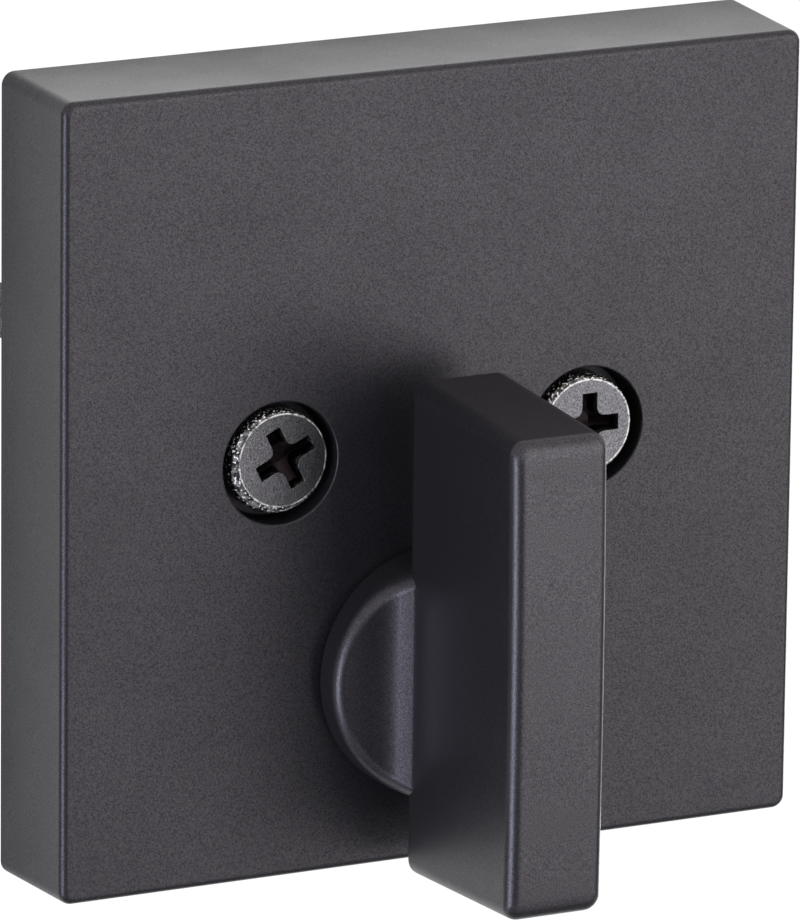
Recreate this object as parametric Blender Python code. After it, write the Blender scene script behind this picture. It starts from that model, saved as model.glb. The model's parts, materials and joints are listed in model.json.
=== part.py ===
"""Inside trim of a single-cylinder deadbolt: a square rose with a bar-shaped thumb turn.

World frame: the origin is the centre of the square rose on the door face, +X to the right and +Z up
for someone standing in the room, and +Y into the door. All sizes below are in millimetres.
The thumb turn and all that turns with it hang on one empty, whose origin is on the turning axis.
"""

import math

import bmesh
import bpy
import numpy as np

MM = 0.001

# Clearance left between pieces that touch, press or run on each other
FIT = 0.3

# Rose: a hollow square zinc casting
ROSE_SIDE = 66.7
ROSE_DEPTH = 11.1
ROSE_DRAFT = 0.31          # how far each side leans in by the front face
ROSE_CORNER = 1.1          # radius of the four corners
ROSE_FRONT_EDGE = 0.6      # rounding between the sides and the front face
ROSE_WALL = 2.2
ROSE_SKIN = 2.4            # thickness of the front face
CAVITY_CORNER = 2.0

# Steel mounting plate inside the rose, and the posts it is screwed to
PLATE_THICK = 2.0
PLATE_RECESS = 3.2         # from the door face to the back of the plate
PLATE_CORNER = 3.0
PLATE_MARGIN = 1.6         # from the cavity wall to the edge of the plate
POST_INSET = 4.6           # from the edge of the plate to the centre of a post
POST_WALL = 2.0            # metal round each post's hole
POST_SCREW_SKIN = 1.2      # metal left in front of a post's hole

# Small screws that hold the plate to the posts
SMALL_SCREW_R = 1.3
SMALL_HEAD_R = 2.7
SMALL_HEAD_HEIGHT = 1.7
SMALL_CROSS_WIDTH = 0.9
SMALL_CROSS_REACH = 1.5
SMALL_CROSS_DEPTH = 0.9

# Two long mounting screws in wells, one on each side
SCREW_X = 13.8
SCREW_Z = 1.7
SCREW_R = 2.08
SCREW_LENGTH = 57.15       # under the head
SCREW_POINT = 1.0          # cone at the tip
HEAD_R = 4.3
HEAD_HEIGHT = 2.4
HEAD_EDGE = 0.45           # rounding of the head's rim
HEAD_SINK = 0.25           # how far the head lies below the front face
CROSS_WIDTH = 1.3
CROSS_REACH = 2.6
CROSS_DEPTH = 1.7
CROSS_TURN = {"left": 26.0, "right": 0.0}
WELL_GAP = 0.8             # between the head and the wall of its well
WELL_LIP = 0.15            # rounding of the well's mouth
WELL_WALL = 1.6
RETAINER_WALL = 2.2
RETAINER_THICK = 0.8

# Axis of the thumb turn, below the centre of the rose
AXIS_Z = -16.75

# Nylon bush in the rose's hub
BUSH_WALL = 1.6
BUSH_OVERLAP = 1.15        # how far the collar reaches beyond the bush's flange
BUSH_FLANGE_THICK = 1.0
HUB_WALL = 1.9

# Thumb turn: collar, scoop, bar and shank in one casting
COLLAR_R = 10.35
COLLAR_GAP = 0.35          # from the rose to the back of the collar
COLLAR_RISE = 3.5          # from the rose to the rim of the collar
COLLAR_EDGE = 1.0          # rounding of the rim
SCOOP_IN = (0.0, 3.2, 4.3, 5.6)        # distances in from SCOOP_FROM towards the bar
SCOOP_SLOPE = (0.0, 21.0, 38.5, 35.5)  # slope of the front at those distances, in degrees
SCOOP_OUT = 0.45           # from the edge of the collar to where the slope starts
BAR_WIDTH = 8.66
BAR_UP = 25.45             # from the axis to the bar's upper end
BAR_DOWN = 16.1            # from the axis to its lower end
BAR_STANDOFF = 3.95        # from the rose to the back of the bar
BAR_DEPTH = 18.65
BAR_END_DRAFT = 1.0        # how far each end leans in by the front
BAR_SIDE_DRAFT = 0.07
BAR_CORNER = 1.3           # radius of the edges that run along the depth
BAR_EDGE = 1.05            # rounding of the front and back edges
SHANK_WALL = 2.1           # between the spigot's hole and the outside of the shank
SHANK_FLAT_CUT = 0.8       # how deep the shank's two flats are cut

# What sits on the shank behind the plate
STOP_THICK = 1.4
STOP_WALL = 2.2            # between the shank and the edge of the disc
STOP_LOBE_REACH = 5.0      # from the edge of the disc to the end of its lobe
STOP_LOBE_HALF = 2.0
STOP_ANGLE = 90.0          # the turn each way before the lobe meets a pin
STOP_PIN_R = 1.25
STOP_PIN_OUT = 3.3         # from the edge of the disc to the centre of a pin
STOP_PIN_PROUD = 0.6
WASHER_WALL = 2.6
WAVE_THICK = 0.4
WAVE_RISE = 0.9            # free height above the thickness
WAVE_COUNT = 3
THRUST_THICK = 1.0
RING_THICK = 0.9
RING_WALL = 2.3            # from the shank's surface to the outside of the ring
RING_OPENING = 70.0        # degrees left open at the mouth of the ring
GROOVE_DEPTH = 0.7
SHANK_TAIL = 3.8           # from the ring groove to the end of the shank

# Drive spigot pinned in the shank, and the flat blade that turns the bolt
SPIGOT_COVER = 0.28        # metal of the spigot beyond the corners of its slot
SPIGOT_INSIDE = 10.0       # length inside the shank
SPIGOT_OUTSIDE = 7.8       # length behind the shank
SPIGOT_FLANGE = 1.5
SPIGOT_FLANGE_THICK = 1.0
CROSS_PIN_R = 0.8
BLADE_WIDTH = 5.0
BLADE_THICK = 2.0
BLADE_END = 50.0           # from the door face to the tip of the blade
BLADE_TIP = 3.0
BLADE_PIN_R = 0.7
BLADE_PIN_FROM_END = 3.2   # from the spigot's open end to the blade's pin

# Depths along Y, each worked out from the pieces in front of it
ROSE_FRONT = -ROSE_DEPTH
SKIN_BACK = ROSE_FRONT + ROSE_SKIN
PLATE_BACK = -PLATE_RECESS
PLATE_FRONT = PLATE_BACK - PLATE_THICK
SEAT = PLATE_FRONT - FIT                      # where posts, wells and hub end
HEAD_TOP = ROSE_FRONT + HEAD_SINK
HEAD_UNDER = HEAD_TOP + HEAD_HEIGHT
COLLAR_BACK = ROSE_FRONT - COLLAR_GAP
COLLAR_RIM = ROSE_FRONT - COLLAR_RISE
BAR_BACK = ROSE_FRONT - BAR_STANDOFF
BAR_FRONT = BAR_BACK - BAR_DEPTH
FLANGE_FRONT = COLLAR_BACK + FIT
FLANGE_BACK = FLANGE_FRONT + BUSH_FLANGE_THICK
STOP_FRONT = PLATE_BACK + FIT
STOP_BACK = STOP_FRONT + STOP_THICK
WAVE_FRONT = STOP_BACK + FIT
WAVE_BACK = WAVE_FRONT + WAVE_THICK + WAVE_RISE
THRUST_FRONT = WAVE_BACK + FIT
THRUST_BACK = THRUST_FRONT + THRUST_THICK
RING_FRONT = THRUST_BACK + FIT
RING_BACK = RING_FRONT + RING_THICK
GROOVE_BACK = RING_BACK + FIT
SHANK_END = GROOVE_BACK + SHANK_TAIL
CROSS_PIN_Y = (GROOVE_BACK + SHANK_END) / 2
SPIGOT_FRONT = SHANK_END - SPIGOT_INSIDE
SPIGOT_END = SHANK_END + SPIGOT_OUTSIDE
SLOT_FLOOR = SHANK_END + FIT + SPIGOT_FLANGE_THICK + FIT
BLADE_PIN_Y = SPIGOT_END - BLADE_PIN_FROM_END

# Radii and places that follow from the pieces they fit, from the blade outwards
SLOT_HALF = BLADE_THICK / 2 + FIT
SPIGOT_R = math.hypot(BLADE_WIDTH / 2, SLOT_HALF) + SPIGOT_COVER
SPIGOT_HOLE = SPIGOT_R + FIT
SHANK_R = SPIGOT_HOLE + SHANK_WALL
SHANK_FLAT = SHANK_R - SHANK_FLAT_CUT
GROOVE_R = SHANK_R - GROOVE_DEPTH
SHANK_HOLE = SHANK_R + FIT
BUSH_R = SHANK_HOLE + BUSH_WALL
BUSH_FLANGE_R = COLLAR_R - BUSH_OVERLAP
HUB_HOLE = BUSH_R + FIT
HUB_R = HUB_HOLE + HUB_WALL
WASHER_R = SHANK_HOLE + WASHER_WALL
RING_R = SHANK_R + RING_WALL
STOP_R = SHANK_HOLE + STOP_WALL
STOP_LOBE_R = STOP_R + STOP_LOBE_REACH
STOP_PIN_ORBIT = STOP_R + STOP_PIN_OUT
SCREW_HOLE = SCREW_R + FIT
RETAINER_R = SCREW_HOLE + RETAINER_WALL
WELL_R = HEAD_R + WELL_GAP
WELL_OUTER = WELL_R + WELL_WALL
SMALL_HOLE = SMALL_SCREW_R + FIT
POST_RADIUS = SMALL_HOLE + POST_WALL
CAVITY_HALF = ROSE_SIDE / 2 - ROSE_WALL
PLATE_HALF = CAVITY_HALF - PLATE_MARGIN
POST_AT = PLATE_HALF - POST_INSET


def material(name, colour, metallic, roughness):
    found = bpy.data.materials.new(name)
    found.use_nodes = True
    shader = found.node_tree.nodes["Principled BSDF"]
    shader.inputs["Base Color"].default_value = (*colour, 1.0)
    shader.inputs["Metallic"].default_value = metallic
    shader.inputs["Roughness"].default_value = roughness
    return found


def add_points(bm, points):
    return [bm.verts.new((x * MM, y * MM, z * MM)) for x, y, z in points]


def skin(bm, first, second):
    """Joins two rings of corners with faces. A ring of one corner is a pole."""
    if len(first) == 1 and len(second) == 1:
        return
    count = max(len(first), len(second))
    for i in range(count):
        j = (i + 1) % count
        corners = [first[i % len(first)], first[j % len(first)],
                   second[j % len(second)], second[i % len(second)]]
        bm.faces.new([c for k, c in enumerate(corners) if c not in corners[:k]])


def add_lathe(bm, outline, steps=48, x=0.0, z=0.0):
    """Turns a closed outline of (radius, depth) corners round a line along Y through x, z."""
    rings = []
    for radius, y in outline:
        if radius < 1e-9:
            rings.append(add_points(bm, [(x, y, z)]))
            continue
        turns = [2 * math.pi * i / steps for i in range(steps)]
        round_line = [(x + radius * math.cos(t), y, z + radius * math.sin(t)) for t in turns]
        rings.append(add_points(bm, round_line))
    for first, second in zip(rings, rings[1:] + rings[:1]):
        skin(bm, first, second)


def add_loft(bm, rings):
    """Joins rings of corners one after the other, and closes both ends with a flat face."""
    made = [add_points(bm, ring) for ring in rings]
    for first, second in zip(made, made[1:]):
        skin(bm, first, second)
    bm.faces.new(made[0])
    bm.faces.new(made[-1])


def add_prism(bm, outline, front, back):
    """Carries a flat outline of (x, z) corners along Y."""
    add_loft(bm, [[(x, y, z) for x, z in outline] for y in (front, back)])


def add_block(bm, low, high):
    (x0, y0, z0), (x1, y1, z1) = low, high
    add_prism(bm, [(x0, z0), (x1, z0), (x1, z1), (x0, z1)], y0, y1)


def rounded_rectangle(left, right, bottom, top, radius, steps=6):
    """Corners of a rectangle in X and Z with each corner replaced by an arc."""
    corners = []
    for x, z, start in ((right, top, 0), (left, top, 90), (left, bottom, 180), (right, bottom, 270)):
        cx = x - math.copysign(radius, x - (left + right) / 2)
        cz = z - math.copysign(radius, z - (bottom + top) / 2)
        for i in range(steps + 1):
            turn = math.radians(start + 90 * i / steps)
            corners.append((cx + radius * math.cos(turn), cz + radius * math.sin(turn)))
    return corners


def make(name, bm, finish=None, place=(0.0, 0.0, 0.0), parent=None, turn=None):
    """Closes a bmesh into a named object, shaded smooth except at its real edges."""
    bmesh.ops.recalc_face_normals(bm, faces=bm.faces)
    mesh = bpy.data.meshes.new(name)
    bm.to_mesh(mesh)
    bm.free()
    mesh.shade_smooth()
    mesh.set_sharp_from_angle(angle=math.radians(30))
    if finish:
        mesh.materials.append(finish)
    thing = bpy.data.objects.new(name, mesh)
    bpy.context.scene.collection.objects.link(thing)
    thing.location = [value * MM for value in place]
    if turn:
        thing.rotation_euler = turn
    thing.parent = parent
    return thing


def combine(body, tool, how):
    """Adds, keeps or cuts away the tool's shape with a live boolean."""
    tool.hide_render = True
    tool.display_type = "WIRE"
    step = body.modifiers.new(tool.name, "BOOLEAN")
    step.operation = how
    step.solver = "EXACT"
    step.object = tool


def add_rounded_hole(bm, radius, front, back, lip, x=0.0, z=0.0, steps=48):
    """A cutter for a hole whose mouth at the front is rounded over by lip."""
    mouth = []
    for i in range(4):
        turn = math.radians(90 - 30 * i)
        inward = lip * math.cos(math.pi / 2 - turn)
        mouth.append((radius + lip - inward, front + lip - lip * math.sin(turn)))
    outline = [(0, front - 1), (radius + lip, front - 1)] + mouth + [(radius, back), (0, back)]
    add_lathe(bm, outline, steps, x, z)


def cross_cutter(name, width, reach, depth, front, place, turn):
    """The cross recess of a screw head: two crossed blocks whose arms narrow towards the bottom."""
    blocks = []
    for half_x, half_z in ((1, 0), (0, 1)):
        rings = []
        for y, length in ((front - 1, reach + 0.5 * reach / depth), (front + depth, reach * 0.5)):
            x = length if half_x else width / 2
            z = length if half_z else width / 2
            rings.append([(sx * x, y, sz * z) for sx, sz in ((1, 1), (-1, 1), (-1, -1), (1, -1))])
        bm = bmesh.new()
        add_loft(bm, rings)
        blocks.append(make(f"{name}_arm_{len(blocks) + 1}", bm, place=place, turn=turn))
    combine(blocks[0], blocks[1], "UNION")
    return blocks[0]


def make_rose(black):
    """Hollow square casting: drafted sides, a rounded front edge, wells, a hub and four posts."""
    half = ROSE_SIDE / 2
    lean = ROSE_DRAFT / ROSE_DEPTH
    rings = []

    def square(size, corner, y):
        return [(x, y, z) for x, z in rounded_rectangle(-size, size, -size, size, corner)]

    rings.append(square(half, ROSE_CORNER, 0.0))
    for i in range(5):
        turn = math.radians(90 * i / 4)
        inset = ROSE_FRONT_EDGE * (1 - math.cos(turn))
        y = ROSE_FRONT + ROSE_FRONT_EDGE * (1 - math.sin(turn))
        rings.append(square(half + lean * y - inset, ROSE_CORNER - inset, y))
    bm = bmesh.new()
    add_loft(bm, rings)
    rose = make("rose_cover", bm, black)

    bm = bmesh.new()
    cavity_lean = lean * SKIN_BACK
    add_loft(bm, [
        square(CAVITY_HALF - lean, CAVITY_CORNER, 1.0),
        square(CAVITY_HALF + cavity_lean, CAVITY_CORNER, SKIN_BACK),
    ])
    combine(rose, make("rose_cavity", bm), "DIFFERENCE")

    bm = bmesh.new()
    root = SKIN_BACK - ROSE_SKIN / 2
    add_lathe(bm, [(0, root), (HUB_R, root), (HUB_R, SEAT), (0, SEAT)], 48, 0.0, AXIS_Z)
    for side in (-1, 1):
        well = [(0, root), (WELL_OUTER, root), (WELL_OUTER, SEAT), (0, SEAT)]
        add_lathe(bm, well, 40, side * SCREW_X, SCREW_Z)
        for up in (-1, 1):
            post = [(0, root), (POST_RADIUS, root), (POST_RADIUS, SEAT), (0, SEAT)]
            add_lathe(bm, post, 24, side * POST_AT, up * POST_AT)
    combine(rose, make("rose_posts", bm), "UNION")

    bm = bmesh.new()
    seat = FLANGE_BACK + FIT
    flange = BUSH_FLANGE_R + FIT
    hub = [(0, ROSE_FRONT - 1), (flange, ROSE_FRONT - 1), (flange, seat),
           (HUB_HOLE, seat), (HUB_HOLE, 1), (0, 1)]
    add_lathe(bm, hub, 48, 0.0, AXIS_Z)
    for side in (-1, 1):
        add_rounded_hole(bm, WELL_R, ROSE_FRONT, HEAD_UNDER + FIT, WELL_LIP, side * SCREW_X, SCREW_Z)
        for up in (-1, 1):
            blind = ROSE_FRONT + POST_SCREW_SKIN
            outline = [(0, blind), (SMALL_HOLE, blind), (SMALL_HOLE, 1), (0, 1)]
            add_lathe(bm, outline, 20, side * POST_AT, up * POST_AT)
    combine(rose, make("rose_wells", bm), "DIFFERENCE")

    bm = bmesh.new()
    top = HEAD_UNDER - 1
    for side in (-1, 1):
        add_lathe(bm, [(0, top), (SCREW_HOLE, top), (SCREW_HOLE, 1), (0, 1)], 24, side * SCREW_X, SCREW_Z)
    combine(rose, make("rose_screw_holes", bm), "DIFFERENCE")


def make_plate(steel):
    """Flat steel plate with a hole for each thing that goes through it."""
    bm = bmesh.new()
    add_prism(bm, rounded_rectangle(-PLATE_HALF, PLATE_HALF, -PLATE_HALF, PLATE_HALF, PLATE_CORNER),
              PLATE_FRONT, PLATE_BACK)
    plate = make("mounting_plate", bm, steel)
    holes = [(0.0, AXIS_Z, SHANK_HOLE, 48)]
    for side in (-1, 1):
        holes.append((side * SCREW_X, SCREW_Z, SCREW_HOLE, 24))
        x, z = stop_pin_place(side)
        holes.append((x, z, STOP_PIN_R + FIT, 20))
        for up in (-1, 1):
            holes.append((side * POST_AT, up * POST_AT, SMALL_HOLE, 20))
    bm = bmesh.new()
    for x, z, radius, steps in holes:
        hole = [(0, PLATE_FRONT - 1), (radius, PLATE_FRONT - 1), (radius, PLATE_BACK + 1), (0, PLATE_BACK + 1)]
        add_lathe(bm, hole, steps, x, z)
    combine(plate, make("plate_holes", bm), "DIFFERENCE")


def stop_pin_place(side):
    """Where a pin stands so that the lobe's flank reaches it, less the clearance, at STOP_ANGLE."""
    beyond = math.asin(STOP_LOBE_HALF / STOP_PIN_ORBIT) + math.asin((STOP_PIN_R + FIT) / STOP_PIN_ORBIT)
    turn = math.radians(STOP_ANGLE) + beyond
    return side * STOP_PIN_ORBIT * math.sin(turn), AXIS_Z + STOP_PIN_ORBIT * math.cos(turn)


def make_stop_pins(steel):
    for name, side in (("left", -1), ("right", 1)):
        x, z = stop_pin_place(side)
        end = STOP_BACK + STOP_PIN_PROUD
        edge = 0.25
        bm = bmesh.new()
        add_lathe(bm, [(0, PLATE_FRONT), (STOP_PIN_R, PLATE_FRONT), (STOP_PIN_R, end - edge),
                       (STOP_PIN_R - edge, end), (0, end)], 20)
        make("stop_pin_" + name, bm, steel, (x, 0, z))


def make_plate_screws(zinc):
    """Four small pan-head screws that hold the plate to the rose's posts."""
    under = PLATE_BACK + FIT
    tip = ROSE_FRONT + POST_SCREW_SKIN + 2 * FIT
    top = under + SMALL_HEAD_HEIGHT
    number = 0
    for up in (1, -1):
        for side in (-1, 1):
            number += 1
            place = (side * POST_AT, 0, up * POST_AT)
            bm = bmesh.new()
            add_lathe(bm, [(0, tip), (SMALL_SCREW_R * 0.6, tip), (SMALL_SCREW_R, tip + 1),
                           (SMALL_SCREW_R, under), (SMALL_HEAD_R, under), (SMALL_HEAD_R, top - 0.8),
                           (SMALL_HEAD_R * 0.9, top - 0.3), (SMALL_HEAD_R * 0.6, top), (0, top)], 20)
            screw = make(f"plate_screw_{number}", bm, zinc, place)
            cross = cross_cutter(f"plate_screw_{number}_cross", SMALL_CROSS_WIDTH, SMALL_CROSS_REACH,
                                 SMALL_CROSS_DEPTH, -top, place, (0, 0, math.pi))
            combine(screw, cross, "DIFFERENCE")


def make_mounting_screws(zinc):
    """Two long machine screws; their recessed heads show in the wells of the rose."""
    tip = HEAD_UNDER + SCREW_LENGTH
    for name, side in (("left", -1), ("right", 1)):
        place = (side * SCREW_X, 0, SCREW_Z)
        rim = [(HEAD_R - HEAD_EDGE * (1 - math.cos(math.radians(a))),
                HEAD_TOP + HEAD_EDGE * (1 - math.sin(math.radians(a)))) for a in (90, 60, 30, 0)]
        bm = bmesh.new()
        add_lathe(bm, [(0, HEAD_TOP)] + rim + [(HEAD_R, HEAD_UNDER), (SCREW_R, HEAD_UNDER),
                       (SCREW_R, tip - SCREW_POINT), (SCREW_R * 0.6, tip), (0, tip)], 36)
        screw = make("mounting_screw_" + name, bm, zinc, place)
        turn = (0, -math.radians(CROSS_TURN[name]), 0)
        cross = cross_cutter("mounting_screw_" + name + "_cross", CROSS_WIDTH, CROSS_REACH, CROSS_DEPTH,
                             HEAD_TOP, place, turn)
        combine(screw, cross, "DIFFERENCE")


def make_retainers(nylon):
    """Nylon rings behind the plate that keep the loose screws in the trim until it is fitted."""
    front = PLATE_BACK + FIT
    back = front + RETAINER_THICK
    for name, side in (("left", -1), ("right", 1)):
        bm = bmesh.new()
        add_lathe(bm, [(SCREW_HOLE, front), (RETAINER_R, front), (RETAINER_R, back - 0.25),
                       (RETAINER_R - 0.25, back), (SCREW_HOLE, back)], 32)
        make("screw_retainer_" + name, bm, nylon, (side * SCREW_X, 0, SCREW_Z))


def make_bush(nylon):
    """Flanged sleeve that lines the hub; the flange keeps the collar off the rose."""
    bm = bmesh.new()
    add_lathe(bm, [(SHANK_HOLE, FLANGE_FRONT), (BUSH_FLANGE_R, FLANGE_FRONT), (BUSH_FLANGE_R, FLANGE_BACK),
                   (BUSH_R, FLANGE_BACK), (BUSH_R, SEAT), (SHANK_HOLE, SEAT)], 48)
    make("bearing_bush", bm, nylon, (0, 0, AXIS_Z))


def scoop(x, steps=48):
    """How far the collar's front stands out at x: the tangent of its slope, added up from the rim to x."""
    start = COLLAR_R - SCOOP_OUT
    into = min(max(start - abs(x), 0), start - BAR_WIDTH / 2)
    middles = (np.arange(steps) + 0.5) * into / steps
    slopes = np.radians(np.interp(middles, SCOOP_IN, SCOOP_SLOPE))
    return float(np.sum(np.tan(slopes)) * into / steps)


def make_collar(black, axis):
    """Rings of corners from the middle of the back, over the rounded rim, to the middle of the scooped front."""
    rows = [(COLLAR_R, COLLAR_BACK, 0.0)]
    for i in range(6):
        turn = math.radians(90 * i / 5)
        rows.append((COLLAR_R - COLLAR_EDGE * (1 - math.cos(turn)),
                     COLLAR_RIM + COLLAR_EDGE * (1 - math.sin(turn)), math.sqrt(math.sin(turn))))
    inner = COLLAR_R - COLLAR_EDGE
    rows += [(inner * share, COLLAR_RIM, 1.0) for share in (0.9, 0.8, 0.7, 0.6, 0.5, 0.3)]
    steps = 72
    bm = bmesh.new()
    rings = [add_points(bm, [(0, COLLAR_BACK, 0)])]
    for radius, y, share in rows:
        ring = []
        for i in range(steps):
            turn = 2 * math.pi * i / steps
            x = radius * math.cos(turn)
            ring.append((x, y - share * scoop(x), radius * math.sin(turn)))
        rings.append(add_points(bm, ring))
    rings.append(add_points(bm, [(0, COLLAR_RIM - scoop(0), 0)]))
    for first, second in zip(rings, rings[1:]):
        skin(bm, first, second)
    return make("turn_piece", bm, black, parent=axis)


def make_turn_piece(black, axis):
    """Collar with a scooped front, the bar that fingers hold, and the shank, in one casting."""
    half = BAR_WIDTH / 2
    turn = make_collar(black, axis)

    def section(y, inset):
        share = (BAR_BACK - y) / BAR_DEPTH
        side = half - BAR_SIDE_DRAFT * share - inset
        top = BAR_UP - BAR_END_DRAFT * share - inset
        bottom = -BAR_DOWN + BAR_END_DRAFT * share + inset
        return [(x, y, z) for x, z in rounded_rectangle(-side, side, bottom, top, BAR_CORNER - inset)]

    turns = [math.radians(90 * i / 5) for i in range(6)]
    arc = [(BAR_EDGE * (1 - math.cos(t)), BAR_EDGE * (1 - math.sin(t))) for t in turns]
    rings = [section(BAR_BACK - rise, inset) for rise, inset in arc]
    rings += [section(BAR_FRONT + rise, inset) for inset, rise in arc]
    bm = bmesh.new()
    add_loft(bm, rings)
    combine(turn, make("turn_bar", bm, parent=axis), "UNION")

    bm = bmesh.new()
    root = COLLAR_BACK - 1.5
    add_lathe(bm, [(0, root), (SHANK_R, root), (SHANK_R, THRUST_BACK), (GROOVE_R, THRUST_BACK),
                   (GROOVE_R, GROOVE_BACK), (SHANK_R, GROOVE_BACK), (SHANK_R, SHANK_END - 0.4),
                   (SHANK_R - 0.4, SHANK_END), (0, SHANK_END)], 48)
    combine(turn, make("turn_shank", bm, parent=axis), "UNION")

    bm = bmesh.new()
    floor = SPIGOT_FRONT - FIT
    add_lathe(bm, [(0, floor), (SPIGOT_HOLE, floor), (SPIGOT_HOLE, SHANK_END + 1), (0, SHANK_END + 1)], 32)
    for side in (-1, 1):
        low, high = sorted((side * SHANK_FLAT, side * (SHANK_R + 1)))
        add_block(bm, (low, PLATE_BACK, -SHANK_R - 1), (high, SHANK_END + 1, SHANK_R + 1))
    combine(turn, make("turn_cuts", bm, parent=axis), "DIFFERENCE")
    drill_across(turn, "turn_pin_hole", CROSS_PIN_R + FIT, SHANK_R + 1, CROSS_PIN_Y, axis)


def drill_across(body, name, radius, reach, y, axis):
    """Cuts a round hole right through along X, at depth y."""
    bm = bmesh.new()
    add_lathe(bm, [(0, -reach), (radius, -reach), (radius, reach), (0, reach)], 20)
    combine(body, make(name, bm, None, (0, y, 0), axis, (0, 0, math.pi / 2)), "DIFFERENCE")


def make_cross_pin(name, radius, length, y, steel, axis):
    """A pin along X with chamfered ends."""
    half = length / 2
    edge = 0.2
    bm = bmesh.new()
    add_lathe(bm, [(0, -half), (radius - edge, -half), (radius, -half + edge), (radius, half - edge),
                   (radius - edge, half), (0, half)], 20)
    make(name, bm, steel, (0, y, 0), axis, (0, 0, math.pi / 2))


def make_stop_disc(steel, axis):
    """Disc keyed to the flats of the shank, with one lobe that swings between the two stop pins."""
    join = math.asin(STOP_LOBE_HALF / STOP_R)
    tip = math.asin(STOP_LOBE_HALF / STOP_LOBE_R)
    outline = []
    for i in range(49):
        turn = math.pi / 2 + join + (2 * math.pi - 2 * join) * i / 48
        outline.append((STOP_R * math.cos(turn), STOP_R * math.sin(turn)))
    for i in range(5):
        turn = math.pi / 2 - tip + 2 * tip * i / 4
        outline.append((STOP_LOBE_R * math.cos(turn), STOP_LOBE_R * math.sin(turn)))
    bm = bmesh.new()
    add_prism(bm, outline, STOP_FRONT, STOP_BACK)
    disc = make("stop_disc", bm, steel, parent=axis)
    flat = SHANK_FLAT + FIT
    corner = math.acos(flat / SHANK_HOLE)
    hole = []
    for start in (-math.pi / 2, math.pi / 2):
        for i in range(13):
            turn = start - (math.pi / 2 - corner) + (math.pi - 2 * corner) * i / 12
            hole.append((SHANK_HOLE * math.cos(turn), SHANK_HOLE * math.sin(turn)))
    bm = bmesh.new()
    add_prism(bm, hole, STOP_FRONT - 1, STOP_BACK + 1)
    combine(disc, make("stop_disc_hole", bm, parent=axis), "DIFFERENCE")


def make_wave_washer(steel, axis):
    """Thin ring bent into waves: each section is lifted by a cosine of its turn round the axis."""
    bm = bmesh.new()
    steps = 60
    rings = []
    for i in range(steps):
        turn = 2 * math.pi * i / steps
        y = WAVE_FRONT + WAVE_RISE * (1 - math.cos(WAVE_COUNT * turn)) / 2
        corners = [(SHANK_HOLE, y), (WASHER_R, y), (WASHER_R, y + WAVE_THICK), (SHANK_HOLE, y + WAVE_THICK)]
        rings.append(add_points(bm, [(r * math.cos(turn), d, r * math.sin(turn)) for r, d in corners]))
    for first, second in zip(rings, rings[1:] + rings[:1]):
        skin(bm, first, second)
    make("wave_washer", bm, steel, parent=axis)


def make_thrust_washer(steel, axis):
    bm = bmesh.new()
    add_lathe(bm, [(SHANK_HOLE, THRUST_FRONT), (WASHER_R, THRUST_FRONT), (WASHER_R, THRUST_BACK),
                   (SHANK_HOLE, THRUST_BACK)], 48)
    make("thrust_washer", bm, steel, parent=axis)


def make_retaining_ring(steel, axis):
    """E-shaped ring: three prongs reach into the groove, with relief between them and an open mouth."""
    prong = GROOVE_R + FIT
    relief = SHANK_R + 2 * FIT
    span = 360 - RING_OPENING
    start = -90 + RING_OPENING / 2
    outer = [start + span * i / 40 for i in range(41)]
    outline = [(RING_R * math.cos(math.radians(a)), RING_R * math.sin(math.radians(a))) for a in outer]
    for i in range(60, -1, -1):
        share = i / 60
        at_prong = share < 0.12 or share > 0.88 or abs(share - 0.5) < 0.08
        radius = prong if at_prong else relief
        turn = math.radians(start + span * share)
        outline.append((radius * math.cos(turn), radius * math.sin(turn)))
    bm = bmesh.new()
    add_prism(bm, outline, RING_FRONT, RING_BACK)
    make("retaining_ring", bm, steel, parent=axis)


def make_drive(steel, axis):
    """Spigot pinned in the shank, with a slot for the blade, and the flat blade itself."""
    flange_front = SHANK_END + FIT
    flange_back = flange_front + SPIGOT_FLANGE_THICK
    flange = SPIGOT_R + SPIGOT_FLANGE
    bm = bmesh.new()
    add_lathe(bm, [(0, SPIGOT_FRONT), (SPIGOT_R - 0.4, SPIGOT_FRONT), (SPIGOT_R, SPIGOT_FRONT + 0.4),
                   (SPIGOT_R, flange_front), (flange, flange_front), (flange, flange_back),
                   (SPIGOT_R, flange_back), (SPIGOT_R, SPIGOT_END - 0.4), (SPIGOT_R - 0.4, SPIGOT_END),
                   (0, SPIGOT_END)], 32)
    spigot = make("drive_spigot", bm, steel, parent=axis)
    bm = bmesh.new()
    add_block(bm, (-SLOT_HALF, SLOT_FLOOR, -SPIGOT_R - 1), (SLOT_HALF, SPIGOT_END + 1, SPIGOT_R + 1))
    combine(spigot, make("spigot_slot", bm, parent=axis), "DIFFERENCE")
    drill_across(spigot, "spigot_pin_hole", CROSS_PIN_R + FIT, SPIGOT_R + 1, CROSS_PIN_Y, axis)
    drill_across(spigot, "spigot_blade_hole", BLADE_PIN_R + FIT, SPIGOT_R + 1, BLADE_PIN_Y, axis)

    wide, thick = BLADE_WIDTH / 2, BLADE_THICK / 2
    bm = bmesh.new()
    stations = ((SLOT_FLOOR + FIT, wide), (BLADE_END - BLADE_TIP, wide), (BLADE_END, wide * 0.6))
    add_loft(bm, [[(sx * thick, y, sz * width) for sx, sz in ((1, 1), (-1, 1), (-1, -1), (1, -1))]
                  for y, width in stations])
    blade = make("torque_blade", bm, steel, parent=axis)
    drill_across(blade, "blade_pin_hole", BLADE_PIN_R + FIT, BLADE_THICK + 1, BLADE_PIN_Y, axis)
    make_cross_pin("spigot_pin", CROSS_PIN_R, 2 * SHANK_FLAT - 2 * FIT, CROSS_PIN_Y, steel, axis)
    make_cross_pin("blade_pin", BLADE_PIN_R, 2 * SPIGOT_R - 2 * FIT, BLADE_PIN_Y, steel, axis)


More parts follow.
